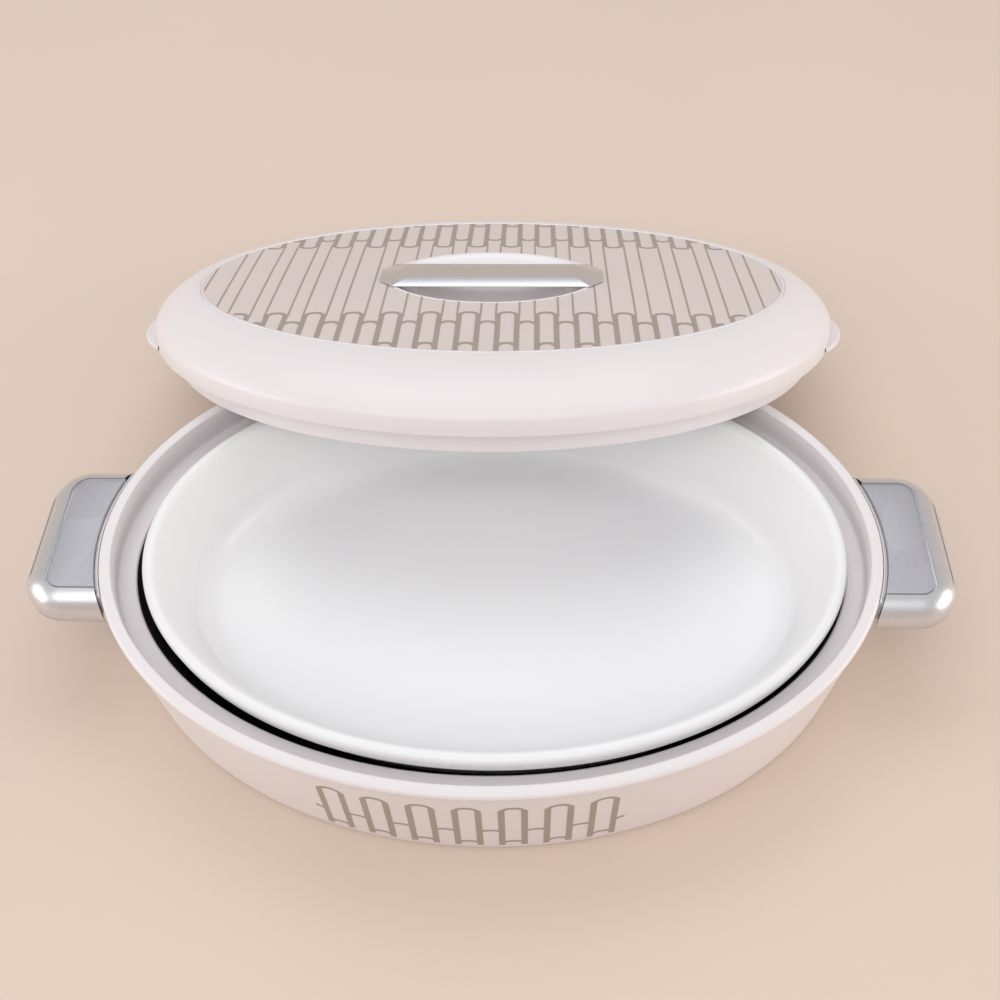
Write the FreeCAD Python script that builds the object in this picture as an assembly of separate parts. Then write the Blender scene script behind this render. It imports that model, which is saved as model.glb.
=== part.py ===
import FreeCAD, Part
import math
import os

V = FreeCAD.Vector
os.makedirs("parts", exist_ok=True)

# Oval insulated casserole for flat breads, all sizes in millimetres.
# Origin: on the table, under the centre of the oval rim. X runs through the two side handles,
# Y runs to the back and Z up. The lid is lifted off: its back edge stands on the table behind
# the body and its flange leans on the rim.

# Body
RIM_A = 190.0
RIM_B = 140.5
RIM_Z = 69.5
RIM_WIDTH = 6.0
RIM_ROUND = 2.4
RIM_LIP = 4.6
RIM_SEAM = 0.3
BASE_INSET = 8.4
SHELL_WALL = 2.8
SHELL_STEP = 0.5
LEDGE_Z = 53.6
LEDGE_IN_X = 15.0
LEDGE_IN_Y = 19.0
LEDGE_EDGE = 1.2
LEDGE_FILLET = 1.8
LINER_WALL = 2.2
WELL_FLOOR_Z = 12.0
WELL_TAPER = 9.0
WELL_FILLET = 12.0

# Base plate, its screws and the feet
PLATE_Z = 0.8
PLATE_T = 3.2
PLATE_SETBACK = 0.5
SHELL_FLOOR = 2.6
BOSS_R = 4.5
BOSS_H = 6.0
BOSS_X = 138.0
BOSS_Y = 70.0
SCREW_R = 1.75
SCREW_HEAD_R = 3.4
SCREW_HEAD_T = 1.6
SCREW_BITE = 8.0
FOOT_R = 8.0
FOOT_SINK = 1.6
FOOT_X = 104.0
FOOT_Y = 90.0
FIT = 0.15

# Side handles
HANDLE_REACH = 34.0
HANDLE_HALF = 43.5
HANDLE_CORNER = 22.0
HANDLE_TOP = RIM_Z - 0.3
HANDLE_DEEP = 16.0
HANDLE_ROUND = 8.5
HANDLE_GAP = 2.2
HANDLE_SKIN = 2.6
PANEL_BORDER = 12.0
PANEL_CORNER = 8.5
PANEL_T = 1.6
PANEL_SINK = 0.5
PANEL_LINE = 0.25
EAR_HALF = 38.0
EAR_LIP_DROP = 1.1
EAR_LIP_GAP = 0.4
EAR_EDGE_DROP = 2.8
EAR_T = 13.0
TONGUE_OUT = 19.0
TONGUE_HALF = 27.0
TONGUE_T = 6.0
HANDLE_SCREW_X = 13.5
HANDLE_SCREW_Y = 17.0
HANDLE_SCREW_BITE = 4.5

# Porcelain dish
DISH_A = 171.8
DISH_B = 121.0
DISH_X = 1.9
DISH_Y = -1.3
DISH_RIM_Z = 66.0
DISH_RIM_W = 6.0
DISH_RIM_T = 9.8
DISH_RIM_R = 3.2
DISH_RIM_DRAFT = 1.2
DISH_UNDER_W = 6.4
DISH_UNDER_H = 2.2
DISH_WALL = 4.4
DISH_FLOOR_T = 5.0
DISH_TAPER = 14.0
DISH_FOOT_W = 5.5
DISH_FOOT_H = 1.8
DISH_FILLET = 15.0

# Running gap between pieces that lift off one another
REST_GAP = 0.3

# Lid, written in its own frame with Z = 0 on the plane that meets the rim
LID_OVER = 2.0
BAND_H = 9.5
BAND_DRAFT = 0.5
DOME_RUN_X = 26.6
DOME_RUN_Y = 40.3
DOME_TOP = 26.6
DOME_FULLNESS = 1.43
DOME_CROWN = 2.2
LID_WALL = 2.6
BAND_IN = LID_WALL + BAND_DRAFT
FLANGE_DEEP = 13.5
FLANGE_GAP = 0.7
FLANGE_DRAFT = 1.0
FLANGE_WALL = 2.4
CEILING_Z = 7.0
CEILING_RUN = 34.0
CEILING_T = 2.2
SEAL_T = 1.8
SEAL_PROUD = 0.2
INLAY_T = 1.6
INLAY_GAP = 0.25
TAB_Y = -17.5
TAB_HALF = 26.0
TAB_OUT = 6.0
TAB_T = 2.5
TAB_RISE = 0.5

# Finger cup and grip bar of the lid
CUP_A = 58.0
CUP_B = 38.5
CUP_DEEP = 15.0
CUP_WALL = 2.0
BAR_HALF = 63.0
BAR_END_HALF_W = 8.5
BAR_SHOULDER = 55.0
BAR_HALF_W = 17.5
BAR_TOP_HALF = 49.5
BAR_TOP_END_HALF_W = 6.0
BAR_TOP_SHOULDER = 47.5
BAR_TOP_HALF_W = 10.5
BAR_T = 3.4
BAR_EDGE_T = 0.7
CORE_HALF = 53.0
CORE_HALF_W = 6.0
CORE_T = 3.2
CORE_LEG = 11.0
BAR_SCREW_X = 47.0
BAR_SCREW_BITE = 4.0

# Where the lifted lid stands
LID_X = -2.9
LID_SETBACK = 165.0


def oval(a, b, z):
    return Part.Wire([Part.Ellipse(V(0, 0, z), a, b).toShape()])


def stack(rings):
    """Solid through level ovals, each given as (semi-length, semi-width, height)."""
    return Part.makeLoft([oval(a, b, z) for a, b, z in rings], True, True)


def inset(w, z, a=RIM_A, b=RIM_B):
    return (a - w, b - w, z)


def arc_steps(count):
    return [0.5 * math.pi * i / count for i in range(count + 1)]


def cylinder(r, z0, z1, x=0.0, y=0.0):
    return Part.makeCylinder(r, z1 - z0, V(x, y, z0))


def block(x0, x1, y0, y1, z0, z1):
    return Part.makeBox(x1 - x0, y1 - y0, z1 - z0, V(x0, y0, z0))


def screw(x, y, head_z, tip_z, head_r=SCREW_HEAD_R):
    """Pan-head screw that is driven upwards from head_z."""
    head = cylinder(head_r, head_z, head_z + SCREW_HEAD_T, x, y)
    drive = cylinder(0.45 * head_r, head_z, head_z + 0.5 * SCREW_HEAD_T, x, y)
    shank = cylinder(SCREW_R, head_z + SCREW_HEAD_T, tip_z, x, y)
    return head.fuse(shank).cut(drive)


def four(x, y):
    return [(sx * x, sy * y) for sx in (-1, 1) for sy in (-1, 1)]


def save(name, shape):
    solids = shape.Solids
    one = solids[0] if len(solids) == 1 else Part.makeCompound(solids)
    one.exportStep("parts/%s.step" % name)
    print("%-24s solids %d volume %10.1f valid %s" % (name, len(solids), one.Volume, one.isValid()))


# Outer shell: drafted wall under the rim lip and a closed floor with screw bosses.
def wall_inset(z):
    return BASE_INSET * (1.0 - z / RIM_Z) + SHELL_STEP


shell_top = RIM_Z - RIM_LIP - RIM_SEAM
shell_low = PLATE_Z + PLATE_T
shell_floor_top = shell_low + SHELL_FLOOR
shell = stack([inset(wall_inset(shell_low), shell_low), inset(wall_inset(shell_top), shell_top)])
hollow = stack([inset(wall_inset(shell_floor_top) + SHELL_WALL, shell_floor_top),
                inset(wall_inset(shell_top + 1.0) + SHELL_WALL, shell_top + 1.0)])

shell = shell.cut(hollow)
for x, y in four(BOSS_X, BOSS_Y):
    shell = shell.fuse(cylinder(BOSS_R, shell_low, shell_floor_top + BOSS_H, x, y))

plate_face = PLATE_Z + SCREW_HEAD_T
base_screw_list = []
for x, y in four(BOSS_X, BOSS_Y):
    base_screw_list.append(screw(x, y, PLATE_Z, plate_face + SCREW_BITE))
base_screws = Part.makeCompound(base_screw_list)
for x, y in four(BOSS_X, BOSS_Y):
    shell = shell.cut(cylinder(SCREW_R, shell_low, plate_face + SCREW_BITE, x, y))

# Base plate: closes the underside and holds the rubber feet in shallow pockets.
plate = stack([inset(wall_inset(0.0) + PLATE_SETBACK + 0.8, PLATE_Z),
               inset(wall_inset(0.0) + PLATE_SETBACK, PLATE_Z + 0.8),
               inset(wall_inset(shell_low) + PLATE_SETBACK, shell_low)])
for x, y in four(BOSS_X, BOSS_Y):
    plate = plate.cut(cylinder(SCREW_HEAD_R, PLATE_Z - 1.0, plate_face, x, y))
    plate = plate.cut(cylinder(SCREW_R, PLATE_Z - 1.0, shell_low + 1.0, x, y))
feet = []
for x, y in four(FOOT_X, FOOT_Y) + [(0.0, 0.0)]:
    plate = plate.cut(cylinder(FOOT_R, PLATE_Z - 1.0, PLATE_Z + FOOT_SINK, x, y))
    feet.append(cylinder(FOOT_R, 0.0, PLATE_Z + FOOT_SINK, x, y))
foot_pads = Part.makeCompound(feet)

# Inner liner: one moulding with the rim, the lip over the shell, the ledge and the well.
rim_over = []
for t in arc_steps(4):
    rim_over.append(inset(RIM_ROUND * (1.0 - math.cos(t)), RIM_Z - RIM_ROUND * (1.0 - math.sin(t))))
liner_out = stack([inset(SHELL_STEP, RIM_Z - RIM_LIP)] + rim_over)
under_w = wall_inset(shell_top) + SHELL_WALL


def well_ring(w, z):
    return (RIM_A - LEDGE_IN_X - w, RIM_B - LEDGE_IN_Y - w, z)


liner_deep = stack([
    well_ring(WELL_TAPER + WELL_FILLET - 1.0, WELL_FLOOR_Z - LINER_WALL),
    well_ring(WELL_TAPER + 0.3 * WELL_FILLET - LINER_WALL, WELL_FLOOR_Z - LINER_WALL + 0.3 * WELL_FILLET),
    well_ring(WELL_TAPER - LINER_WALL, WELL_FLOOR_Z - LINER_WALL + WELL_FILLET),
    well_ring(-LINER_WALL, LEDGE_Z - LINER_WALL)])
ledge_under = LEDGE_Z - LINER_WALL
liner_ledge = stack([inset(wall_inset(ledge_under) + SHELL_WALL, ledge_under),
                     inset(under_w, shell_top), inset(under_w, RIM_Z - RIM_LIP)])
liner_solid = liner_out.fuse(liner_ledge).fuse(liner_deep)
rim_hole = stack([inset(RIM_WIDTH + LEDGE_FILLET, LEDGE_Z),
                  inset(RIM_WIDTH + 0.3 * LEDGE_FILLET, LEDGE_Z + 0.3 * LEDGE_FILLET),
                  inset(RIM_WIDTH, LEDGE_Z + LEDGE_FILLET),
                  inset(RIM_WIDTH, RIM_Z - 0.8),
                  inset(RIM_WIDTH - 0.8, RIM_Z)])
well_rings = [well_ring(WELL_TAPER + WELL_FILLET * (1.0 - math.sin(t)),
                        WELL_FLOOR_Z + WELL_FILLET * (1.0 - math.cos(t))) for t in arc_steps(4)]
well_hole = stack(well_rings + [well_ring(LEDGE_EDGE, LEDGE_Z - LEDGE_EDGE), well_ring(0.0, LEDGE_Z)])
liner = liner_solid.cut(rim_hole).cut(well_hole)

# Handle brackets: an ear on the outside of the shell that slopes down from the rim lip, with a
# flat tongue that reaches into the handle.
ear_edge_z = RIM_Z - EAR_EDGE_DROP
ear_lip_z = RIM_Z - EAR_LIP_DROP
ear_low = ear_edge_z - EAR_T
tongue_z = ear_low + 0.5 * (EAR_T - TONGUE_T)
ear_out = -HANDLE_GAP + FIT
ear_ring = stack([inset(ear_out, ear_low), inset(ear_out, ear_edge_z), inset(-EAR_LIP_GAP, ear_lip_z)])
ear_reach = 1.2 * RIM_A
ear = ear_ring.common(block(0.0, ear_reach, -EAR_HALF, EAR_HALF, ear_low - 1.0, RIM_Z))
tongue_tip = RIM_A + TONGUE_OUT
tongue = block(0.6 * RIM_A, tongue_tip, -TONGUE_HALF, TONGUE_HALF, tongue_z, tongue_z + TONGUE_T)
shell_outside = stack([inset(wall_inset(shell_low), shell_low), inset(wall_inset(shell_top), shell_top)])
lip_outside = stack([inset(SHELL_STEP - FIT, shell_top), inset(-FIT, RIM_Z - RIM_ROUND),
                     inset(-FIT, RIM_Z + 1.0)])
bracket = ear.fuse(tongue).cut(shell_outside).cut(lip_outside)

# Insulation: foam that fills the space between shell and liner.
foam_fill = stack([inset(wall_inset(shell_floor_top) + SHELL_WALL, shell_floor_top),
                   inset(wall_inset(shell_top) + SHELL_WALL, shell_top)])
foam = foam_fill.cut(liner_solid)
for x, y in four(BOSS_X, BOSS_Y):
    foam = foam.cut(cylinder(BOSS_R, shell_floor_top - 1.0, shell_floor_top + BOSS_H, x, y))
    foam = foam.cut(cylinder(SCREW_R, shell_floor_top, plate_face + SCREW_BITE, x, y))


# Side handles: silver cap, satin panel let into its top, grey core that closes it from below
# and takes the tongue of the shell, and two screws into the tongue.
def d_plan(reach, half, corner, z0, z1):
    """Plate with two rounded outer corners that runs inwards past the rim, right-hand side."""
    x1 = RIM_A + reach
    x0 = 0.6 * RIM_A
    pts = [V(x0, -half, z0), V(x1 - corner, -half, z0), V(x1, -half + corner, z0),
           V(x1, half - corner, z0), V(x1 - corner, half, z0), V(x0, half, z0)]
    q = corner * (1.0 - math.sqrt(0.5))
    low = Part.Arc(pts[1], V(x1 - q, -half + q, z0), pts[2]).toShape()
    high = Part.Arc(pts[3], V(x1 - q, half - q, z0), pts[4]).toShape()
    edges = [Part.makeLine(pts[0], pts[1]), low, Part.makeLine(pts[2], pts[3]), high,
             Part.makeLine(pts[4], pts[5]), Part.makeLine(pts[5], pts[0])]
    return Part.Face(Part.Wire(edges)).extrude(V(0, 0, z1 - z0))


handle_low = HANDLE_TOP - HANDLE_DEEP
handle_keep_out = stack([inset(-HANDLE_GAP, handle_low - 5.0), inset(-HANDLE_GAP, HANDLE_TOP + 5.0)])
cap = d_plan(HANDLE_REACH, HANDLE_HALF, HANDLE_CORNER, handle_low, HANDLE_TOP)
crest = [e for e in cap.Edges if abs(e.BoundBox.ZMin - HANDLE_TOP) < 0.01
         and abs(e.BoundBox.ZMax - HANDLE_TOP) < 0.01 and e.BoundBox.XMax > 0.7 * RIM_A]
cap = cap.makeFillet(HANDLE_ROUND, crest)
cap = cap.cut(handle_keep_out)
panel_pocket = d_plan(HANDLE_REACH - PANEL_BORDER, HANDLE_HALF - 0.75 * PANEL_BORDER,
                      PANEL_CORNER, HANDLE_TOP - PANEL_SINK - PANEL_T, HANDLE_TOP + 1.0)
panel_raw = d_plan(HANDLE_REACH - PANEL_BORDER - PANEL_LINE,
                   HANDLE_HALF - 0.75 * PANEL_BORDER - PANEL_LINE, PANEL_CORNER - PANEL_LINE,
                   HANDLE_TOP - PANEL_SINK - PANEL_T, HANDLE_TOP - PANEL_SINK)
panel = panel_raw.cut(handle_keep_out)
core_top = HANDLE_TOP - PANEL_SINK - PANEL_T - HANDLE_SKIN
core_raw = d_plan(HANDLE_REACH - HANDLE_SKIN, HANDLE_HALF - HANDLE_SKIN,
                  HANDLE_CORNER - HANDLE_SKIN, handle_low + 0.6, core_top)
core_raw = core_raw.cut(handle_keep_out)
tongue_slot = block(0.0, tongue_tip + FIT, -TONGUE_HALF - FIT, TONGUE_HALF + FIT,
                    tongue_z - FIT, tongue_z + TONGUE_T + FIT)
cap = cap.cut(panel_pocket)
cap_hollow = d_plan(HANDLE_REACH - HANDLE_SKIN, HANDLE_HALF - HANDLE_SKIN,
                    HANDLE_CORNER - HANDLE_SKIN, handle_low - 1.0, core_top)
cap = cap.cut(cap_hollow)
core = core_raw.cut(tongue_slot)
screw_x = RIM_A + HANDLE_SCREW_X
screw_head_z = handle_low + 0.8
handle_screw_list = []
for sy in (-1, 1):
    y = sy * HANDLE_SCREW_Y
    core = core.cut(cylinder(SCREW_HEAD_R + FIT, handle_low - 1.0, screw_head_z + SCREW_HEAD_T, screw_x, y))
    core = core.cut(cylinder(SCREW_R, handle_low - 1.0, tongue_z, screw_x, y))
    bracket = bracket.cut(cylinder(SCREW_R, tongue_z - 1.0, tongue_z + HANDLE_SCREW_BITE, screw_x, y))
    handle_screw_list.append(screw(screw_x, y, screw_head_z, tongue_z + HANDLE_SCREW_BITE))
handle_screws = Part.makeCompound(handle_screw_list)

# Porcelain dish: rolled rim, drafted wall, rounded bottom edge and a foot ring in the well.
foot_z = WELL_FLOOR_Z + REST_GAP
dish_floor_z = foot_z + DISH_FOOT_H + DISH_FLOOR_T - 0.6


def dish_ring(w, z):
    return (DISH_A - w, DISH_B - w, z)


side_low_w = DISH_RIM_W + DISH_TAPER
outer_rings = [dish_ring(side_low_w + DISH_FILLET * (1.0 - math.sin(t)) - DISH_WALL,
                         foot_z + DISH_FOOT_H + DISH_FILLET * (1.0 - math.cos(t)))
               for t in arc_steps(4)]
rim_low = DISH_RIM_Z - DISH_RIM_T
outer_rings.append(dish_ring(DISH_UNDER_W, rim_low - DISH_UNDER_H))
outer_rings.append(dish_ring(DISH_RIM_DRAFT, rim_low))
outer_rings.append(dish_ring(0.5 * DISH_RIM_DRAFT, rim_low + 1.0))
for t in arc_steps(4):
    outer_rings.append(dish_ring(DISH_RIM_R * (1.0 - math.cos(t)), DISH_RIM_Z - DISH_RIM_R * (1.0 - math.sin(t))))
dish_solid = stack(outer_rings)
inner_rings = [dish_ring(side_low_w + DISH_FILLET * (1.0 - math.sin(t)),
                         dish_floor_z + DISH_FILLET * (1.0 - math.cos(t))) for t in arc_steps(5)]
inner_rings.append(dish_ring(DISH_RIM_W + 0.8, DISH_RIM_Z - 2.5))
inner_rings.append(dish_ring(DISH_RIM_W, DISH_RIM_Z - 0.8))
inner_rings.append(dish_ring(DISH_RIM_W - 1.0, DISH_RIM_Z))
foot_w = side_low_w + DISH_FILLET - DISH_WALL
foot = stack([dish_ring(foot_w + 0.6, foot_z), dish_ring(foot_w, foot_z + DISH_FOOT_H + 0.5)])
foot_hollow = stack([dish_ring(foot_w + DISH_FOOT_W, foot_z - 1.0),
                     dish_ring(foot_w + DISH_FOOT_W, foot_z + DISH_FOOT_H)])
dish = dish_solid.fuse(foot).cut(foot_hollow).cut(stack(inner_rings))
dish.translate(V(DISH_X, DISH_Y, 0.0))

# Lid outer shell: level band over the rim, rounded dome shoulder, seat for the pattern panel
# and a thin lifting tab at each end.
lid_a = RIM_A + LID_OVER
lid_b = RIM_B + LID_OVER


def lid_ring(w, z):
    return (lid_a - w, lid_b - w, z)


def shoulder(thick):
    """Dome shoulder from the band up to the edge of the panel, set in by a wall thickness."""
    rings = []
    for t in arc_steps(10):
        inward = 1.0 - max(0.0, math.cos(t)) ** DOME_FULLNESS
        set_in = BAND_DRAFT * (1.0 - inward) + thick * math.cos(t)
        z = BAND_H + (DOME_TOP - BAND_H) * math.sin(t) ** DOME_FULLNESS - thick * math.sin(t)
        rings.append((lid_a - DOME_RUN_X * inward - set_in, lid_b - DOME_RUN_Y * inward - set_in, z))
    return rings


inlay_a = lid_a - DOME_RUN_X
inlay_b = lid_b - DOME_RUN_Y


def crown_cap(a, b, edge_z, crown, low_z):
    """Closed oval disc with a gently domed top."""
    rings = [(a, b, low_z)]
    for k in (1.0, 0.92, 0.8, 0.62, 0.4, 0.15):
        rings.append((a * k, b * k, edge_z + crown * (1.0 - k * k)))
    return stack(rings)


def top_seat(rings, edge_z, crown):
    """Continues a shoulder inwards over the top of the dome."""
    out = list(rings)
    for k in (0.985, 0.92, 0.8, 0.62, 0.4, 0.15):
        out.append((inlay_a * k, inlay_b * k, edge_z + crown * (1.0 - k * k)))
    return out


lid_outside = stack([lid_ring(0.0, 0.0)] + top_seat(shoulder(0.0), DOME_TOP, DOME_CROWN))
lid_inside = stack([lid_ring(BAND_IN, -1.0)]
                   + top_seat(shoulder(LID_WALL), DOME_TOP - LID_WALL - INLAY_T, DOME_CROWN))
tab_bite = stack([lid_ring(0.5 * LID_WALL, -1.0), lid_ring(0.5 * LID_WALL, TAB_RISE + TAB_T + 1.0)])


def tab(side):
    """Half-round thumb tab that stands out of the band near one end, a little towards the front."""
    rise = TAB_OUT + 2.0
    r = (TAB_HALF ** 2 + rise ** 2) / (2.0 * rise)
    foot = V(lid_a * math.sqrt(1.0 - (TAB_Y / lid_b) ** 2), TAB_Y, 0.0)
    out = V(foot.x / lid_a ** 2, foot.y / lid_b ** 2, 0.0)
    out.normalize()
    centre = foot + out * (TAB_OUT - r)
    return cylinder(r, TAB_RISE, TAB_RISE + TAB_T, side * centre.x, centre.y).cut(tab_bite)


left_end = block(-2.0 * lid_a, -0.9 * lid_a, -lid_b, lid_b, -1.0, BAND_H)
right_end = block(0.9 * lid_a, 2.0 * lid_a, -lid_b, lid_b, -1.0, BAND_H)
tabs = tab(-1).common(left_end).fuse(tab(1).common(right_end))
inlay_seat = crown_cap(inlay_a, inlay_b, DOME_TOP + 3.0, DOME_CROWN, DOME_TOP - INLAY_T).cut(
    crown_cap(inlay_a * 1.2, inlay_b * 1.2, DOME_TOP - INLAY_T, DOME_CROWN, DOME_TOP - 12.0))
cup_edge_z = DOME_TOP + DOME_CROWN - 0.4


def cup_rings(thick):
    rings = []
    for k, drop in ((0.30, 1.0), (0.55, 0.93), (0.75, 0.74), (0.9, 0.42), (1.0, 0.0)):
        rings.append((CUP_A * k + thick, CUP_B * k + thick, cup_edge_z - CUP_DEEP * drop - thick))
    rings.append((CUP_A + thick, CUP_B + thick, cup_edge_z + 4.0))
    return rings


cup_space = stack(cup_rings(0.0))
cup_body = stack(cup_rings(CUP_WALL))
under_panel = crown_cap(inlay_a * 1.2, inlay_b * 1.2, DOME_TOP - INLAY_T, DOME_CROWN, DOME_TOP - 40.0)
over_panel = crown_cap(inlay_a * 1.2, inlay_b * 1.2, DOME_TOP - 0.1, DOME_CROWN, DOME_TOP - 40.0)
lid_shell = lid_outside.cut(lid_inside).cut(inlay_seat).cut(cup_body)
lid_shell = lid_shell.fuse(tabs)

# Pattern panel: thin printed oval let into the dome, open round the finger cup.
inlay = crown_cap(inlay_a - INLAY_GAP, inlay_b - INLAY_GAP, DOME_TOP, DOME_CROWN, DOME_TOP - INLAY_T)
inlay = inlay.cut(under_panel).cut(cup_body)

# Finger cup: smooth oval bowl under the bar.
cup = cup_body.common(over_panel).cut(cup_space)

# Lid liner: flange that drops inside the rim, shelf inside the band and a raised ceiling.
flange_w = LID_OVER + RIM_WIDTH + FLANGE_GAP
shelf_z = SEAL_PROUD + SEAL_T
ceiling_w = flange_w + CEILING_RUN
liner_outer = stack([lid_ring(flange_w + FLANGE_DRAFT + 0.6, -FLANGE_DEEP),
                     lid_ring(flange_w + FLANGE_DRAFT, -FLANGE_DEEP + 0.6),
                     lid_ring(flange_w, shelf_z)])
shelf_top = shelf_z + CEILING_T
liner_outer = liner_outer.fuse(stack([lid_ring(BAND_IN, shelf_z), lid_ring(BAND_IN, shelf_top),
                                      lid_ring(ceiling_w, CEILING_Z + CEILING_T)]))
liner_inner = stack([lid_ring(flange_w + FLANGE_DRAFT + FLANGE_WALL, -FLANGE_DEEP - 1.0),
                     lid_ring(flange_w + FLANGE_WALL, shelf_z - 0.5),
                     lid_ring(ceiling_w, CEILING_Z)])
lid_liner = liner_outer.cut(liner_inner)

# Seal ring: silicone ring under the shelf, it meets the top of the rim.
seal = stack([lid_ring(BAND_IN + FIT, SEAL_PROUD), lid_ring(BAND_IN + FIT, shelf_z)])
seal = seal.cut(stack([lid_ring(flange_w - FIT, SEAL_PROUD - 1.0), lid_ring(flange_w - FIT, shelf_z + 1.0)]))


# Grip bar: bevelled silver bar with blunt ends laid across the cup, with a pale core under it
# whose two legs stand on the cup and take the screws.
def blunt_bar(half, end_half_w, shoulder_x, half_w, z):
    pts = [(half, -end_half_w), (half, end_half_w), (shoulder_x, half_w), (-shoulder_x, half_w),
           (-half, end_half_w), (-half, -end_half_w), (-shoulder_x, -half_w), (shoulder_x, -half_w)]
    return Part.makePolygon([V(x, y, z) for x, y in pts + pts[:1]])


bar_low = DOME_TOP + DOME_CROWN + 0.05
bar_edge = bar_low + BAR_EDGE_T
bar = Part.makeLoft([blunt_bar(BAR_HALF, BAR_END_HALF_W, BAR_SHOULDER, BAR_HALF_W, bar_low),
                     blunt_bar(BAR_HALF, BAR_END_HALF_W, BAR_SHOULDER, BAR_HALF_W, bar_edge),
                     blunt_bar(BAR_TOP_HALF, BAR_TOP_END_HALF_W, BAR_TOP_SHOULDER, BAR_TOP_HALF_W,
                               bar_low + BAR_T)], True, True)
bar_core = block(-CORE_HALF, CORE_HALF, -CORE_HALF_W, CORE_HALF_W, bar_low - CORE_T, bar_low)
legs = block(CORE_HALF - CORE_LEG, CORE_HALF, -CORE_HALF_W, CORE_HALF_W, bar_low - CUP_DEEP, bar_low)
legs = legs.fuse(block(-CORE_HALF, -CORE_HALF + CORE_LEG, -CORE_HALF_W, CORE_HALF_W,
                       bar_low - CUP_DEEP, bar_low))
bar_core = bar_core.fuse(legs).common(cup_space)
cup_low = cup_edge_z - CUP_DEEP - CUP_WALL
bar_screw_list = []
screw_room = []
for sx in (-1, 1):
    x = sx * BAR_SCREW_X
    tip = bar_low - CORE_T + 1.0
    bar_screw_list.append(screw(x, 0.0, cup_low - 0.4, tip, 0.8 * SCREW_HEAD_R))
    drill = cylinder(SCREW_R, cup_low - 2.0, tip, x, 0.0)
    bar_core = bar_core.cut(drill)
    cup = cup.cut(drill)
    screw_room.append(cylinder(0.8 * SCREW_HEAD_R + FIT, cup_low - 0.4, cup_edge_z, x, 0.0))
bar_screws = Part.makeCompound(bar_screw_list)

# Lid insulation: foam between the lid liner and the dome.
foam_room = stack([lid_ring(BAND_IN, shelf_top)]
                  + top_seat(shoulder(LID_WALL), DOME_TOP - LID_WALL - INLAY_T, DOME_CROWN))
ceiling_block = stack([lid_ring(BAND_IN, shelf_top), lid_ring(ceiling_w, CEILING_Z + CEILING_T)])
lid_foam = foam_room.cut(ceiling_block).cut(cup_body.multiFuse(screw_room))


# Stand of the lifted lid: the lean is the angle at which the back of the flange meets the table
# while the flange rests on the rim.
flange_a = lid_a - flange_w - FLANGE_DRAFT - 0.6
flange_b = lid_b - flange_w - FLANGE_DRAFT - 0.6


def lid_height(lean):
    return (flange_b + 0.6) * math.sin(lean) + FLANGE_DEEP * math.cos(lean) + REST_GAP


def rim_clearance(lean):
    """Least height of the flange's low edge over the rim where the two ovals cross."""
    least = 1000.0
    for i in range(1440):
        t = math.pi * (i / 720.0)
        x = LID_X + flange_a * math.cos(t)
        y = LID_SETBACK + flange_b * math.sin(t) * math.cos(lean) - FLANGE_DEEP * math.sin(lean)
        z = lid_height(lean) - flange_b * math.sin(t) * math.sin(lean) - FLANGE_DEEP * math.cos(lean)
        in_rim = (x / RIM_A) ** 2 + (y / RIM_B) ** 2 < 1.0
        in_hole = (x / (RIM_A - RIM_WIDTH)) ** 2 + (y / (RIM_B - RIM_WIDTH)) ** 2 < 1.0
        if in_rim and not in_hole:
            least = min(least, z - RIM_Z)
    return least


lean_low = math.radians(5.0)
lean_high = math.radians(45.0)
for i in range(40):
    lean = 0.5 * (lean_low + lean_high)
    if rim_clearance(lean) < REST_GAP:
        lean_low = lean
    else:
        lean_high = lean
lid_z = lid_height(lean)
print("lid lean %.3f degrees, lid height %.3f" % (math.degrees(lean), lid_z))


def stood(shape):
    """Moves a lid piece from the lid's own frame to where the lid stands."""
    out = shape.copy()
    out.rotate(V(0, 0, 0), V(1, 0, 0), -math.degrees(lean))
    out.translate(V(LID_X, LID_SETBACK, lid_z))
    return out


def turned(shape):
    """The left-hand twin of a right-hand handle piece."""
    out = shape.copy()
    out.rotate(V(0, 0, 0), V(0, 0, 1), 180.0)
    return out


save("outer_shell", shell)
save("inner_liner", liner)
save("body_foam", foam)
save("base_plate", plate)
save("base_screws", base_screws)
save("foot_pads", foot_pads)
for side, place in (("right", lambda s: s), ("left", turned)):
    save(side + "_handle_bracket", place(bracket))
    save(side + "_handle_cap", place(cap))
    save(side + "_handle_panel", place(panel))
    save(side + "_handle_core", place(core))
    save(side + "_handle_screws", place(handle_screws))
save("porcelain_dish", dish)
save("lid_outer_shell", stood(lid_shell))
save("lid_pattern_panel", stood(inlay))
save("lid_finger_cup", stood(cup))
save("lid_inner_liner", stood(lid_liner))
save("lid_seal_ring", stood(seal))
save("lid_foam", stood(lid_foam))
save("lid_grip_bar", stood(bar))
save("lid_bar_core", stood(bar_core))
save("lid_bar_screws", stood(bar_screws))
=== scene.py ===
import math

import bmesh
import bpy
from mathutils import Matrix, Vector


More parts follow.
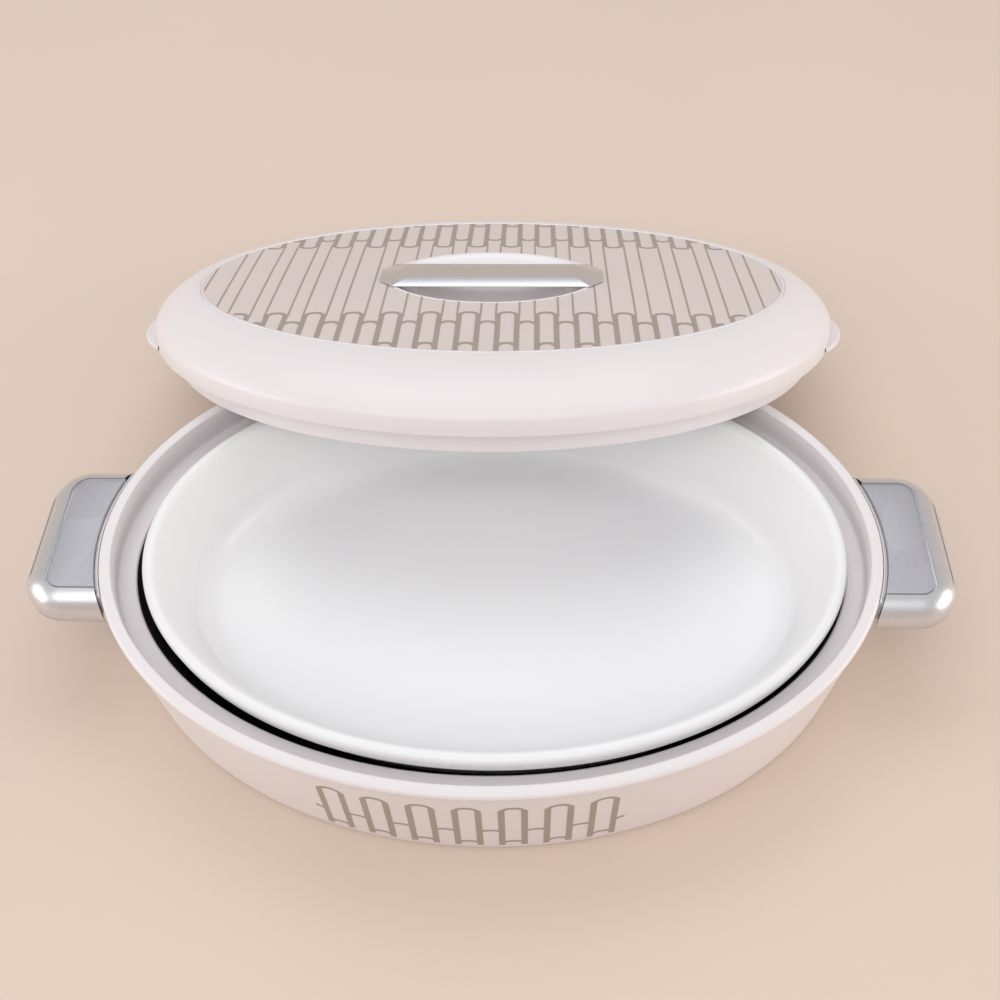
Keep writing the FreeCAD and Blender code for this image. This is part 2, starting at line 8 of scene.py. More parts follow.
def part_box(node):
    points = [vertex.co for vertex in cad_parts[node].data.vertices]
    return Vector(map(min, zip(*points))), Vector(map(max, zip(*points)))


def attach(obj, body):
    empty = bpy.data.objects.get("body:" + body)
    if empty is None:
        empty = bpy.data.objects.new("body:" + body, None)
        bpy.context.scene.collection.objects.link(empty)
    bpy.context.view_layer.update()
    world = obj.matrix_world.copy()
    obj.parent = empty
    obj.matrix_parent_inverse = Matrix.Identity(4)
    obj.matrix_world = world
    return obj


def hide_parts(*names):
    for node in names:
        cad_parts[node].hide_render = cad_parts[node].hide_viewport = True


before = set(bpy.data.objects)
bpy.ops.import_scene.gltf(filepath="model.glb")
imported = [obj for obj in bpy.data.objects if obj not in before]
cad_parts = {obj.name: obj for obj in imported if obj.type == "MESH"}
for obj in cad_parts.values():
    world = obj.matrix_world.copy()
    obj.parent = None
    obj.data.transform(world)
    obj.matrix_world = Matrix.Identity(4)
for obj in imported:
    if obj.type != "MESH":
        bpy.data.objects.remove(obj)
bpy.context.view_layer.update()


# Base plate, screws and feet: a flat moulded plate closes the underside of the body. Four
# countersunk screws hold it, and five soft rubber pads are pressed into shallow pockets.
MM = 0.001
BODY_PALE = (0.800, 0.760, 0.775)
SCREW_GREY = (0.55, 0.55, 0.56)
RUBBER_GREY = (0.10, 0.10, 0.10)


def new_material(name, colour, rough, spread, spread_scale, grain, grain_scale, metal=0.0):
    """Principled material whose colour drifts a little round its tone, with a fine moulded grain."""
    material = bpy.data.materials.new(name)
    material.use_nodes = True
    nodes, links = material.node_tree.nodes, material.node_tree.links
    shader = nodes["Principled BSDF"]
    shader.inputs["Roughness"].default_value = rough
    shader.inputs["Metallic"].default_value = metal
    place = nodes.new("ShaderNodeTexCoord")
    drift = nodes.new("ShaderNodeTexNoise")
    drift.inputs["Scale"].default_value = spread_scale
    drift.inputs["Detail"].default_value = 3.0
    tones = nodes.new("ShaderNodeValToRGB")
    tones.color_ramp.elements[0].position = 0.3
    tones.color_ramp.elements[1].position = 0.7
    tones.color_ramp.elements[0].color = [c * (1.0 - spread) for c in colour] + [1.0]
    tones.color_ramp.elements[1].color = [min(1.0, c * (1.0 + spread)) for c in colour] + [1.0]
    fine = nodes.new("ShaderNodeTexNoise")
    fine.inputs["Scale"].default_value = grain_scale
    fine.inputs["Detail"].default_value = 2.0
    bump = nodes.new("ShaderNodeBump")
    bump.inputs["Strength"].default_value = grain
    bump.inputs["Distance"].default_value = 0.1 * MM
    links.new(place.outputs["Object"], drift.inputs["Vector"])
    links.new(place.outputs["Object"], fine.inputs["Vector"])
    links.new(drift.outputs["Fac"], tones.inputs["Fac"])
    links.new(tones.outputs["Color"], shader.inputs["Base Color"])
    links.new(fine.outputs["Fac"], bump.inputs["Height"])
    links.new(bump.outputs["Normal"], shader.inputs["Normal"])
    return material


def dress(node, material):
    """Gives a CAD piece its finish."""
    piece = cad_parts[node]
    piece.data.materials.clear()
    piece.data.materials.append(material)
    return piece


pale_plastic = new_material("pale_plastic", BODY_PALE, 0.34, 0.012, 14.0, 0.10, 1500.0)
zinc_screw = new_material("zinc_screw", SCREW_GREY, 0.32, 0.06, 300.0, 0.2, 2500.0, metal=1.0)
foot_rubber = new_material("foot_rubber", RUBBER_GREY, 0.75, 0.15, 200.0, 0.5, 1800.0)
dress("base_plate", pale_plastic)
dress("base_screws", zinc_screw)
dress("foot_pads", foot_rubber)


# Outer shell: the drafted oval wall with its floor, moulded in pale semi-gloss plastic. The
# liner's lip closes over its top edge, and the base plate shows as a thin strip below it.
OVAL_STEPS = 288
SHARP_EDGE = math.radians(32.0)
SHELL_LEVELS = 8
BASE_INSET = 8.4 * MM
SHELL_STEP = 0.5 * MM
SHELL_WALL = 2.8 * MM
FOOT_ROUND = 1.2 * MM

_, rim_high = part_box("inner_liner")
shell_low, shell_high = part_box("outer_shell")
RIM_A = rim_high.x
RIM_B = rim_high.y
RIM_Z = rim_high.z


def shade(piece):
    """Smooth shading with crisp lines only at real edges."""
    work = bmesh.new()
    work.from_mesh(piece.data)
    bmesh.ops.recalc_face_normals(work, faces=work.faces)
    work.to_mesh(piece.data)
    work.free()
    piece.data.shade_smooth()
    piece.data.set_sharp_from_angle(angle=SHARP_EDGE)


def new_piece(name, verts, faces, body, slot, materials, stands_for=()):
    """Makes a mesh piece in the row frame, lets it ride on its body and dresses it."""
    mesh = bpy.data.meshes.new(name)
    mesh.from_pydata(verts, [], faces)
    piece = bpy.data.objects.new(name, mesh)
    bpy.context.scene.collection.objects.link(piece)
    for material in materials:
        mesh.materials.append(material)
    shade(piece)
    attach(piece, body)
    if stands_for:
        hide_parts(*stands_for)
    return piece


def oval_form(rings, closed_loop=False):
    """Vertices and faces through level ovals (semi-length, semi-width, height); ends are filled
    unless the last oval joins the first."""
    verts, faces = [], []
    for a, b, z in rings:
        for i in range(OVAL_STEPS):
            t = 2.0 * math.pi * i / OVAL_STEPS
            verts.append((a * math.cos(t), b * math.sin(t), z))
    rows = len(rings)
    for r in range(rows if closed_loop else rows - 1):
        low, high = r * OVAL_STEPS, ((r + 1) % rows) * OVAL_STEPS
        for i in range(OVAL_STEPS):
            j = (i + 1) % OVAL_STEPS
            faces.append((low + i, low + j, high + j, high + i))
    if not closed_loop:
        for row in (0, rows - 1):
            centre = len(verts)
            verts.append((0.0, 0.0, rings[row][2]))
            for i in range(OVAL_STEPS):
                j = (i + 1) % OVAL_STEPS
                faces.append((centre, row * OVAL_STEPS + i, row * OVAL_STEPS + j))
    return verts, faces


def inset(w, z):
    """Oval that lies inside the rim's outline by w."""
    return (RIM_A - w, RIM_B - w, z)


def quarter(count):
    """Angles of a quarter turn in even steps."""
    return [0.5 * math.pi * i / count for i in range(count + 1)]


def wall_inset(z):
    """How far the drafted wall lies inside the rim's outline at height z."""
    return BASE_INSET * (1.0 - z / RIM_Z) + SHELL_STEP


shell_top = shell_high.z
shell_floor = shell_low.z + SHELL_WALL
shell_rings = [inset(wall_inset(shell_low.z) + FOOT_ROUND * (1.0 - math.sin(t)),
                     shell_low.z + FOOT_ROUND * (1.0 - math.cos(t))) for t in quarter(4)]
shell_levels = [shell_top * k / SHELL_LEVELS for k in range(1, SHELL_LEVELS + 1)]
shell_rings += [inset(wall_inset(z), z) for z in shell_levels]
shell_rings.append(inset(wall_inset(shell_top) + SHELL_WALL, shell_top))
shell_rings.append(inset(wall_inset(shell_floor) + SHELL_WALL, shell_floor))
new_piece("shell_wall", *oval_form(shell_rings), "base", "body_plastic", [pale_plastic],
          ["outer_shell"])


# Body insulation: cream rigid foam blown into the space between shell and liner. It is sealed
# in and shows only in a cut.
FOAM_CREAM = (0.72, 0.62, 0.40)

rigid_foam = new_material("rigid_foam", FOAM_CREAM, 0.9, 0.10, 400.0, 0.8, 900.0)
dress("body_foam", rigid_foam)


# Inner liner: one moulding that carries the rounded rim, the lip over the shell, the level ledge
# and the deep well for the dish. The well below the ledge is coloured near-black: painted shade
# for the deep shadow in the gap round the dish.
RIM_WIDTH = 6.0 * MM
RIM_ROUND = 2.4 * MM
RIM_INNER_ROUND = 0.9 * MM
LIP_CHAMFER = 0.3 * MM
LIP_DRAFT = 0.25 * MM
LIP_SHOULDER = 3.0 * MM
LEDGE_Z = 53.6 * MM
LEDGE_IN_X = 15.0 * MM
LEDGE_IN_Y = 19.0 * MM
LEDGE_FILLET = 1.8 * MM
LEDGE_EDGE = 1.2 * MM
LINER_WALL = 2.2 * MM
WELL_FLOOR_Z = 12.0 * MM
WELL_TAPER = 9.0 * MM
WELL_FILLET = 12.0 * MM
LIP_SEAM = 0.06 * MM
# Near-black painted shade for the well below the ledge, standing in for the shadow in the gap round the
# dish.
WELL_PAINTED_SHADE = (0.012, 0.010, 0.009)

well_painted_shade = new_material("well_painted_shade", WELL_PAINTED_SHADE, 0.55, 0.2, 60.0, 0.1, 1200.0)
lip_z = shell_top + LIP_SEAM


def well_ring(w, z):
    """Oval that lies inside the ledge's inner edge by w."""
    return (RIM_A - LEDGE_IN_X - w, RIM_B - LEDGE_IN_Y - w, z)


liner_rings = [well_ring(WELL_TAPER + WELL_FILLET - (WELL_FILLET + LINER_WALL) * math.cos(t),
                         WELL_FLOOR_Z + WELL_FILLET - (WELL_FILLET + LINER_WALL) * math.sin(t))
               for t in reversed(quarter(8))]
liner_rings += [well_ring(-LINER_WALL, LEDGE_Z - LINER_WALL),
                inset(wall_inset(lip_z) + SHELL_WALL, LEDGE_Z - LINER_WALL),
                inset(wall_inset(lip_z) + SHELL_WALL, lip_z),
                inset(SHELL_STEP + LIP_CHAMFER, lip_z),
                inset(SHELL_STEP, lip_z + LIP_CHAMFER),
                inset(LIP_DRAFT, RIM_Z - LIP_SHOULDER)]
liner_rings += [inset(RIM_ROUND * (1.0 - math.cos(t)), RIM_Z - RIM_ROUND * (1.0 - math.sin(t)))
                for t in quarter(6)]
liner_rings += [inset(RIM_WIDTH - RIM_INNER_ROUND * (1.0 - math.sin(t)),
                      RIM_Z - RIM_INNER_ROUND * (1.0 - math.cos(t))) for t in quarter(4)]
liner_rings += [inset(RIM_WIDTH + LEDGE_FILLET * (1.0 - math.cos(t)),
                      LEDGE_Z + LEDGE_FILLET * (1.0 - math.sin(t))) for t in quarter(5)]
liner_rings += [well_ring(LEDGE_EDGE * (math.sin(t) - 1.0),
                          LEDGE_Z - LEDGE_EDGE * (1.0 - math.cos(t))) for t in quarter(4)]
liner_rings += [well_ring(WELL_TAPER + WELL_FILLET * (1.0 - math.cos(t)),
                          WELL_FLOOR_Z + WELL_FILLET * (1.0 - math.sin(t))) for t in quarter(8)]
liner = new_piece("liner_rim_and_well", *oval_form(liner_rings), "base", "body_plastic",
                  [pale_plastic, well_painted_shade], ["inner_liner"])
# Faces of the well below the ledge take the near-black painted shade.
for face in liner.data.polygons:
    middle = face.center
    inside = math.hypot(middle.x / (RIM_A - LEDGE_IN_X), middle.y / (RIM_B - LEDGE_IN_Y)) < 1.0
    if inside and face.normal.z > -0.5 and middle.z < LEDGE_Z - LEDGE_EDGE:
        face.material_index = 1


# Printed arches: a row of seven warm-grey tile arches, pad-printed low on the front of the shell
# in a thin film of ink. Short link curves join their legs.
PRINT_PITCH = 20.14 * MM
PRINT_SHIFT = -6.5 * MM
PRINT_COUNT = 7
PRINT_LEG = 5.06 * MM
PRINT_BAR = 2.9 * MM
PRINT_LINE = 1.9 * MM
PRINT_TOP = 55.0 * MM
PRINT_RISE = 3.8 * MM
PRINT_LAP = 0.8 * MM
PRINT_SAG = 2.0 * MM
PRINT_LINK_Z = 27.0 * MM
PRINT_SILL_Z = 9.8 * MM
PRINT_SILL_RISE = 2.2 * MM
PRINT_FOOT_Z = 7.0 * MM
PRINT_TAIL = 5.0 * MM
TAIL_STEPS = 6
WALL_STEPS = 24
INK_LIFT = 0.12 * MM
ARCH_FULLNESS = 2.6
INK_GREY = (0.375, 0.318, 0.283)

tile_ink = new_material("tile_ink", INK_GREY, 0.42, 0.03, 60.0, 0.15, 1800.0)


def stroke(verts, faces, path, width, place, lift=INK_LIFT):
    """Adds one printed stroke: a thin ribbon of ink along path, laid on a surface by place."""
    first = len(verts)
    for i, (s, t) in enumerate(path):
        s0, t0 = path[max(0, i - 1)]
        s1, t1 = path[min(len(path) - 1, i + 1)]
        run = math.hypot(s1 - s0, t1 - t0)
        across = (-(t1 - t0) / run * 0.5 * width, (s1 - s0) / run * 0.5 * width)
        for side, height in ((-1, 0.0), (-1, lift), (1, lift), (1, 0.0)):
            verts.append(place(s + side * across[0], t + side * across[1], height))
    for i in range(len(path) - 1):
        base = first + 4 * i
        for k in range(3):
            faces.append((base + k, base + k + 1, base + k + 5, base + k + 4))
    last = first + 4 * (len(path) - 1)
    faces.append((first, first + 1, first + 2, first + 3))
    faces.append((last, last + 3, last + 2, last + 1))


def straight(s, t0, t1, count=14):
    return [(s, t0 + (t1 - t0) * i / count) for i in range(count + 1)]


def arch(centre, half, foot, rise, count=16):
    """Shallow curve that bulges by rise between two points on the same level."""
    points = []
    for i in range(count + 1):
        u = -1.0 + 2.0 * i / count
        points.append((centre + half * u, foot + rise * (1.0 - abs(u) ** ARCH_FULLNESS)))
    return points


def on_front_wall(s, z, lift):
    """Point on the shell's wall at s along it from the middle of the front."""
    a, b, _ = inset(wall_inset(z), z)
    t = -0.5 * math.pi
    for _ in range(WALL_STEPS):
        t += s / WALL_STEPS / math.hypot(a * math.sin(t), b * math.cos(t))
    out = Vector((math.cos(t) / a, math.sin(t) / b, 0.0)).normalized()
    return (a * math.cos(t) + lift * out.x, b * math.sin(t) + lift * out.y, z)


print_verts, print_faces = [], []
for k in range(PRINT_COUNT):
    middle = PRINT_SHIFT + (k - 0.5 * (PRINT_COUNT - 1)) * PRINT_PITCH
    shoulder = PRINT_TOP - PRINT_RISE
    for side in (-1, 1):
        stroke(print_verts, print_faces,
               straight(middle + side * PRINT_LEG, PRINT_FOOT_Z, shoulder + PRINT_LAP),
               PRINT_BAR, on_front_wall)
    stroke(print_verts, print_faces,
           arch(middle, PRINT_LEG + 0.5 * PRINT_BAR - 0.5 * PRINT_LINE, shoulder, PRINT_RISE),
           PRINT_LINE, on_front_wall)
    stroke(print_verts, print_faces, arch(middle, PRINT_LEG, PRINT_SILL_Z, PRINT_SILL_RISE),
           PRINT_LINE, on_front_wall)
    if k < PRINT_COUNT - 1:
        stroke(print_verts, print_faces,
               arch(middle + 0.5 * PRINT_PITCH, 0.5 * PRINT_PITCH - PRINT_LEG,
                    PRINT_LINK_Z - PRINT_SAG, PRINT_SAG), PRINT_LINE, on_front_wall)
for side in (-1, 1):
    leg = PRINT_SHIFT + side * (0.5 * (PRINT_COUNT - 1) * PRINT_PITCH + PRINT_LEG)
    tail = [(leg + side * PRINT_TAIL * i / TAIL_STEPS,
             PRINT_LINK_Z - PRINT_SAG * (1.0 - i / TAIL_STEPS)) for i in range(TAIL_STEPS + 1)]
    stroke(print_verts, print_faces, tail, PRINT_LINE, on_front_wall)
new_piece("front_print", print_verts, print_faces, "base", "body_plastic", [tile_ink])


# Handle brackets: a moulded ear on each end of the shell slopes away from the rim lip and
# reaches a flat tongue into the handle.
for side in ("left", "right"):
    dress(side + "_handle_bracket", pale_plastic)


# Side handles: a satin-silver cap rounded over on its three outer sides, with a flat panel let
# into its top, a dark core that closes it from below, and two screws up into the tongue.
CAP_SILVER = (0.72, 0.72, 0.74)
PANEL_SILVER = (0.52, 0.52, 0.56)
CORE_GREY = (0.16, 0.16, 0.17)
CAP_HALF = 43.5 * MM
CAP_CORNER = 22.0 * MM
CAP_ROUND = 8.5 * MM
CAP_BULGE = 1.1 * MM
CAP_GAP = 2.2 * MM
CAP_EDGE = 0.5 * MM
CAP_ROWS = 10
SIDE_SHARE = 0.75
CAP_FOOT = ((1.6 * MM, 0.8 * MM), (1.0 * MM, 0.0), (0.4 * MM, 0.2 * MM), (0.0, 0.9 * MM))
POCKET_FLOOR = 1.0 * MM
POCKET_LAP = 0.4 * MM
POCKET_EDGE = 0.05 * MM
PANEL_EDGE = 0.4 * MM
PANEL_BORDER = 12.0 * MM
PANEL_CORNER = 8.5 * MM
PANEL_SINK = 0.5 * MM
PANEL_T = 1.6 * MM
PANEL_GROOVE = 1.1 * MM
CORNER_STEPS = 10
SIDE_STEPS = 12
RIM_SIDE_STEPS = 28

cap_silver = new_material("cap_silver", CAP_SILVER, 0.30, 0.05, 900.0, 0.25, 3500.0, metal=0.85)
panel_silver = new_material("panel_silver", PANEL_SILVER, 0.60, 0.05, 900.0, 0.3, 3500.0, metal=0.8)
core_grey = new_material("core_grey", CORE_GREY, 0.55, 0.08, 80.0, 0.3, 1500.0)
cap_low, cap_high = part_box("right_handle_cap")
CAP_X = cap_high.x
CAP_TOP = cap_high.z
CAP_BOTTOM = cap_low.z


def rim_side_x(y, gap):
    """Where the handle's inner edge runs, a gap outside the rim."""
    return (RIM_A + gap) * math.sqrt(max(0.0, 1.0 - (y / (RIM_B + gap)) ** 2))


def d_outline(reach_in, half, corner, z):
    """Three outer sides of the handle at one level, from the back end to the front end."""
    x1 = CAP_X - reach_in
    points = []
    start = rim_side_x(half, CAP_GAP)
    for i in range(SIDE_STEPS):
        points.append((start + (x1 - corner - start) * i / SIDE_STEPS, half, z))
    for i in range(CORNER_STEPS + 1):
        t = 0.5 * math.pi * (1.0 - i / CORNER_STEPS)
        points.append((x1 - corner + corner * math.cos(t), half - corner + corner * math.sin(t), z))
    for i in range(1, SIDE_STEPS):
        points.append((x1, (half - corner) * (1.0 - 2.0 * i / SIDE_STEPS), z))
    mirror = [(x, -y, z) for x, y, z in reversed(points[:SIDE_STEPS + CORNER_STEPS + 1])]
    return points + mirror


def strip_form(outlines):
    """Faces between open outlines that have the same number of points."""
    verts = [p for line in outlines for p in line]
    n = len(outlines[0])
    faces = []
    for r in range(len(outlines) - 1):
        for i in range(n - 1):
            faces.append((r * n + i, r * n + i + 1, (r + 1) * n + i + 1, (r + 1) * n + i))
    return verts, faces


def plate_form(outline, half, z_low, z_high, edge):
    """Closed plate under an outline, with its fourth side cut to follow the rim."""
    inner = []
    for i in range(1, RIM_SIDE_STEPS):
        y = -half + 2.0 * half * i / RIM_SIDE_STEPS
        inner.append((rim_side_x(y, CAP_GAP), y))
    loop = [(x, y) for x, y, _ in outline] + inner
    n = len(loop)
    cx = sum(x for x, _ in loop) / n
    verts, faces = [], []
    for pull, z in ((0.0, z_low), (0.0, z_high - edge), (0.3 * edge, z_high - 0.3 * edge),
                    (edge, z_high)):
        for x, y in loop:
            d = math.hypot(x - cx, y)
            verts.append((x - (x - cx) / d * pull, y - y / d * pull, z))
    for r in range(3):
        for i in range(n):
            j = (i + 1) % n
            faces.append((r * n + i, r * n + j, (r + 1) * n + j, (r + 1) * n + i))
    faces.append(tuple(range(n)))
    faces.append(tuple(range(3 * n, 4 * n)))
    return verts, faces


def half_turn(verts):
    """Turns a right-hand piece round to the left-hand end."""
    return [(-x, -y, z) for x, y, z in verts]


pocket_half = CAP_HALF - SIDE_SHARE * PANEL_BORDER
pocket_z = CAP_TOP - PANEL_SINK - PANEL_T
cap_lines = [d_outline(pull, CAP_HALF - pull, CAP_CORNER - pull, CAP_BOTTOM + rise)
             for pull, rise in CAP_FOOT]
for i in range(CAP_ROWS + 1):
    u = i / CAP_ROWS
    drop = CAP_ROUND * (1.0 - u)
    bulge = CAP_BULGE * 4.0 * u * (1.0 - u)
    pull = PANEL_BORDER * u - bulge
    cap_lines.append(d_outline(pull, CAP_HALF - SIDE_SHARE * PANEL_BORDER * u + bulge,
                               CAP_CORNER - (CAP_CORNER - PANEL_CORNER) * u, CAP_TOP - drop + bulge))
for pull, z in ((0.3 * CAP_EDGE, CAP_TOP - 0.1 * CAP_EDGE), (0.0, CAP_TOP - CAP_EDGE),
                (0.0, pocket_z)):
    cap_lines.append(d_outline(PANEL_BORDER - pull, pocket_half + pull, PANEL_CORNER + pull, z))
cap_form = strip_form(cap_lines)
panel_half = pocket_half - PANEL_GROOVE
panel_form = plate_form(
    d_outline(PANEL_BORDER + PANEL_GROOVE, panel_half, PANEL_CORNER - PANEL_GROOVE, pocket_z),
    panel_half, pocket_z, CAP_TOP - PANEL_SINK, PANEL_EDGE)
pocket_form = plate_form(d_outline(PANEL_BORDER, pocket_half, PANEL_CORNER, pocket_z), pocket_half,
                         pocket_z - POCKET_FLOOR, pocket_z + POCKET_LAP, POCKET_EDGE)
for side, turn in (("right", list), ("left", half_turn)):
    new_piece(side + "_cap", turn(cap_form[0]), cap_form[1], "base", "silver_plate", [cap_silver],
              [side + "_handle_cap"])
    new_piece(side + "_cap_floor", turn(pocket_form[0]), pocket_form[1], "base", "silver_plate",
              [cap_silver])
    new_piece(side + "_panel", turn(panel_form[0]), panel_form[1], "base", "silver_paint",
              [panel_silver], [side + "_handle_panel"])
    dress(side + "_handle_core", core_grey)
    dress(side + "_handle_screws", zinc_screw)


# Porcelain dish: slip-cast white dish with a rolled rim, drafted side, wide rounded bottom edge
# and an unseen foot ring, under a clear glaze that pools very slightly uneven.
DISH_WHITE = (0.865, 0.870, 0.880)
DISH_RIM_W = 6.0 * MM
DISH_RIM_T = 9.8 * MM
DISH_RIM_DRAFT = 1.2 * MM
DISH_UNDER_W = 6.4 * MM
DISH_UNDER_H = 2.2 * MM
DISH_WALL = 4.4 * MM
DISH_FLOOR_T = 5.0 * MM
DISH_TAPER = 14.0 * MM
DISH_FILLET = 15.0 * MM
DISH_SWEEP = 19.0 * MM
DISH_SOFT = 0.8
DISH_FOOT_W = 5.5 * MM
DISH_FOOT_H = 1.8 * MM
DISH_ROLL = 3.2 * MM
DISH_FOOT_DRAFT = 0.6 * MM
DISH_FLOOR_DIP = 0.6 * MM
DISH_UNDER_LIP = 0.8 * MM
DISH_UNDER_EDGE = 0.6 * MM
DISH_INNER_W = 2.2 * MM
DISH_INNER_H = 2.6 * MM
DISH_INNER_LEAN = 0.8 * MM

porcelain = new_material("porcelain", DISH_WHITE, 0.34, 0.006, 8.0, 0.05, 45.0)
glaze = porcelain.node_tree.nodes["Principled BSDF"]
glaze.inputs["Coat Weight"].default_value = 0.12
glaze.inputs["Coat Roughness"].default_value = 0.16
dish_low, dish_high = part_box("porcelain_dish")
dish_a = 0.5 * (dish_high.x - dish_low.x)
dish_b = 0.5 * (dish_high.y - dish_low.y)
dish_mid = 0.5 * (dish_low + dish_high)
dish_floor = dish_low.z + DISH_FOOT_H + DISH_FLOOR_T - DISH_FLOOR_DIP


def dish_ring(w, z):
    """Oval that lies inside the dish's outline by w."""
    return (dish_a - w, dish_b - w, z)


side_w = DISH_RIM_W + DISH_TAPER
foot_w = side_w + DISH_FILLET - DISH_WALL
foot_top = dish_low.z + DISH_FOOT_H
dish_rings = [dish_ring(foot_w + DISH_FOOT_W, foot_top), dish_ring(foot_w + DISH_FOOT_W, dish_low.z),
              dish_ring(foot_w + DISH_FOOT_DRAFT, dish_low.z), dish_ring(foot_w, foot_top)]
dish_rings += [dish_ring(side_w + DISH_FILLET * (1.0 - math.sin(t)) - DISH_WALL,
                         foot_top + DISH_FILLET * (1.0 - math.cos(t))) for t in quarter(8)[1:]]
rim_under = dish_high.z - DISH_RIM_T
dish_rings += [dish_ring(DISH_UNDER_W, rim_under - DISH_UNDER_H),
               dish_ring(DISH_RIM_DRAFT + DISH_UNDER_LIP, rim_under),
               dish_ring(DISH_RIM_DRAFT, rim_under + DISH_UNDER_EDGE)]
dish_rings += [dish_ring(DISH_ROLL * (1.0 - math.cos(t)),
                         dish_high.z - DISH_ROLL * (1.0 - math.sin(t))) for t in quarter(8)]
dish_rings += [dish_ring(DISH_RIM_W - DISH_INNER_W * (1.0 - math.sin(t))
                         + DISH_INNER_LEAN * (1.0 - math.cos(t)),
                         dish_high.z - DISH_INNER_H * (1.0 - math.cos(t))) for t in quarter(6)]
dish_rings += [dish_ring(side_w - DISH_INNER_LEAN
                         + DISH_SWEEP * (1.0 - max(0.0, math.cos(t)) ** DISH_SOFT),
                         dish_floor + DISH_SWEEP * (1.0 - math.sin(t) ** DISH_SOFT))
               for t in quarter(20)]
dish_verts, dish_faces = oval_form(dish_rings)
dish_verts = [(x + dish_mid.x, y + dish_mid.y, z) for x, y, z in dish_verts]
new_piece("dish", dish_verts, dish_faces, "dish", "porcelain", [porcelain], ["porcelain_dish"])


# Lid liner: the pale inner moulding of the lid. Its flange drops inside the rim, and its raised
# ceiling leaves room for a pile of breads. It is snapped into the lid's outer shell.
FLANGE_GAP = 6.7 * MM
FLANGE_WALL = 2.4 * MM
CEILING_RUN = 34.0 * MM
CEILING_T = 2.2 * MM
FLANGE_ROUND = 0.9 * MM
FLANGE_DRAFT = 1.0 * MM
FLANGE_DROP = 2.0 * MM
FLANGE_FILLET = 1.2 * MM
FILLET_RISE = 0.2 * MM
CEILING_EDGE = 3.0 * MM
CEILING_DIP = 0.4 * MM

bar_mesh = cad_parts["lid_grip_bar"].data
bar_top_face = max((f for f in bar_mesh.polygons if f.normal.z > 0.5), key=lambda f: f.area)
lid_up = bar_top_face.normal.normalized()
lid_right = Vector((1.0, 0.0, 0.0))
lid_back = lid_up.cross(lid_right)
lid_turn = Matrix((lid_right, lid_back, lid_up)).transposed()


def lid_box(node):
    """Box of a lid piece along the lid's own axes."""
    points = [lid_turn.transposed() @ v.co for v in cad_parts[node].data.vertices]
    return (Vector([min(p[i] for p in points) for i in range(3)]),
            Vector([max(p[i] for p in points) for i in range(3)]))


band_low, _ = lid_box("lid_outer_shell")
panel_low, panel_high = lid_box("lid_pattern_panel")
panel_middle = 0.5 * (panel_low + panel_high)
lid_origin = Vector((panel_middle.x, panel_middle.y, band_low.z))
lid_place = lid_turn @ lid_origin


def in_lid(verts):
    """Moves points from the lid's own frame to where the lid stands."""
    return [tuple(lid_place + lid_turn @ Vector(v)) for v in verts]


flange_low, flange_high = lid_box("lid_inner_liner")
flange_bottom = flange_low.z - lid_origin.z
ceiling_top = flange_high.z - lid_origin.z
LID_OVER = 2.0 * MM
LID_A = RIM_A + LID_OVER
LID_B = RIM_B + LID_OVER


def lid_ring(w, z):
    """Oval that lies inside the lid's outline by w."""
    return (LID_A - w, LID_B - w, z)


_, seal_high = lid_box("lid_seal_ring")
shelf_z = seal_high.z - lid_origin.z
flange_w = LID_OVER + FLANGE_GAP
lid_wall = LID_A - 0.5 * (flange_high.x - flange_low.x)
flange_end = flange_w + FLANGE_DRAFT
flange_rings = [lid_ring(flange_w + CEILING_RUN, ceiling_top),
                lid_ring(lid_wall, shelf_z + CEILING_T), lid_ring(lid_wall, shelf_z),
                lid_ring(flange_w, shelf_z)]
flange_rings += [lid_ring(flange_end + FLANGE_ROUND * (1.0 - math.cos(t)),
                          flange_bottom + FLANGE_ROUND * (1.0 - math.sin(t))) for t in quarter(4)]
flange_rings += [lid_ring(flange_end + FLANGE_WALL - FLANGE_ROUND * math.cos(t),
                          flange_bottom + FLANGE_ROUND * (1.0 - math.sin(t)))
                 for t in reversed(quarter(4))]
flange_rings += [lid_ring(flange_w + FLANGE_WALL, shelf_z - FLANGE_DROP),
                 lid_ring(flange_w + FLANGE_WALL + FLANGE_FILLET, shelf_z + FILLET_RISE),
                 lid_ring(flange_w + CEILING_RUN - CEILING_EDGE, ceiling_top - CEILING_T - CEILING_DIP),
                 lid_ring(flange_w + CEILING_RUN, ceiling_top - CEILING_T)]
liner_form = oval_form(flange_rings)
new_piece("lid_flange_and_ceiling", in_lid(liner_form[0]), liner_form[1], "lid", "body_plastic",
          [pale_plastic], ["lid_inner_liner"])


# Seal ring and lid foam: a soft silicone ring under the lid's shelf meets the rim, and rigid
# foam fills the dome between the liner and the outer shell.
SEAL_PALE = (0.66, 0.64, 0.62)

seal_silicone = new_material("seal_silicone", SEAL_PALE, 0.5, 0.02, 90.0, 0.2, 900.0)
dress("lid_seal_ring", seal_silicone)
dress("lid_foam", rigid_foam)


# Lid outer shell: a level band over the rim, a soft crease, and the full rounded shoulder of
# the dome, with a thin half-round thumb tab moulded on at each end.
BAND_H = 9.5 * MM
BAND_DRAFT = 0.5 * MM
DOME_TOP = 26.6 * MM
DOME_FULLNESS = 1.43
INLAY_GAP = 0.25 * MM
INLAY_SEAT = 1.6 * MM
BAND_EDGES = ((0.5 * MM, 0.0), (0.1 * MM, 0.2 * MM), (0.0, 0.7 * MM))
CREASE_EDGES = ((0.1 * MM, 0.9 * MM), (0.35 * MM, 0.3 * MM))
LID_WALL = 2.6 * MM
TAB_Y = -17.5 * MM
TAB_HALF = 26.0 * MM
TAB_OUT = 6.0 * MM
TAB_T = 2.5 * MM
TAB_RISE = 0.5 * MM
TAB_EDGE = 0.7 * MM
TAB_ROOT = 2.0 * MM
TAB_STEPS = 40

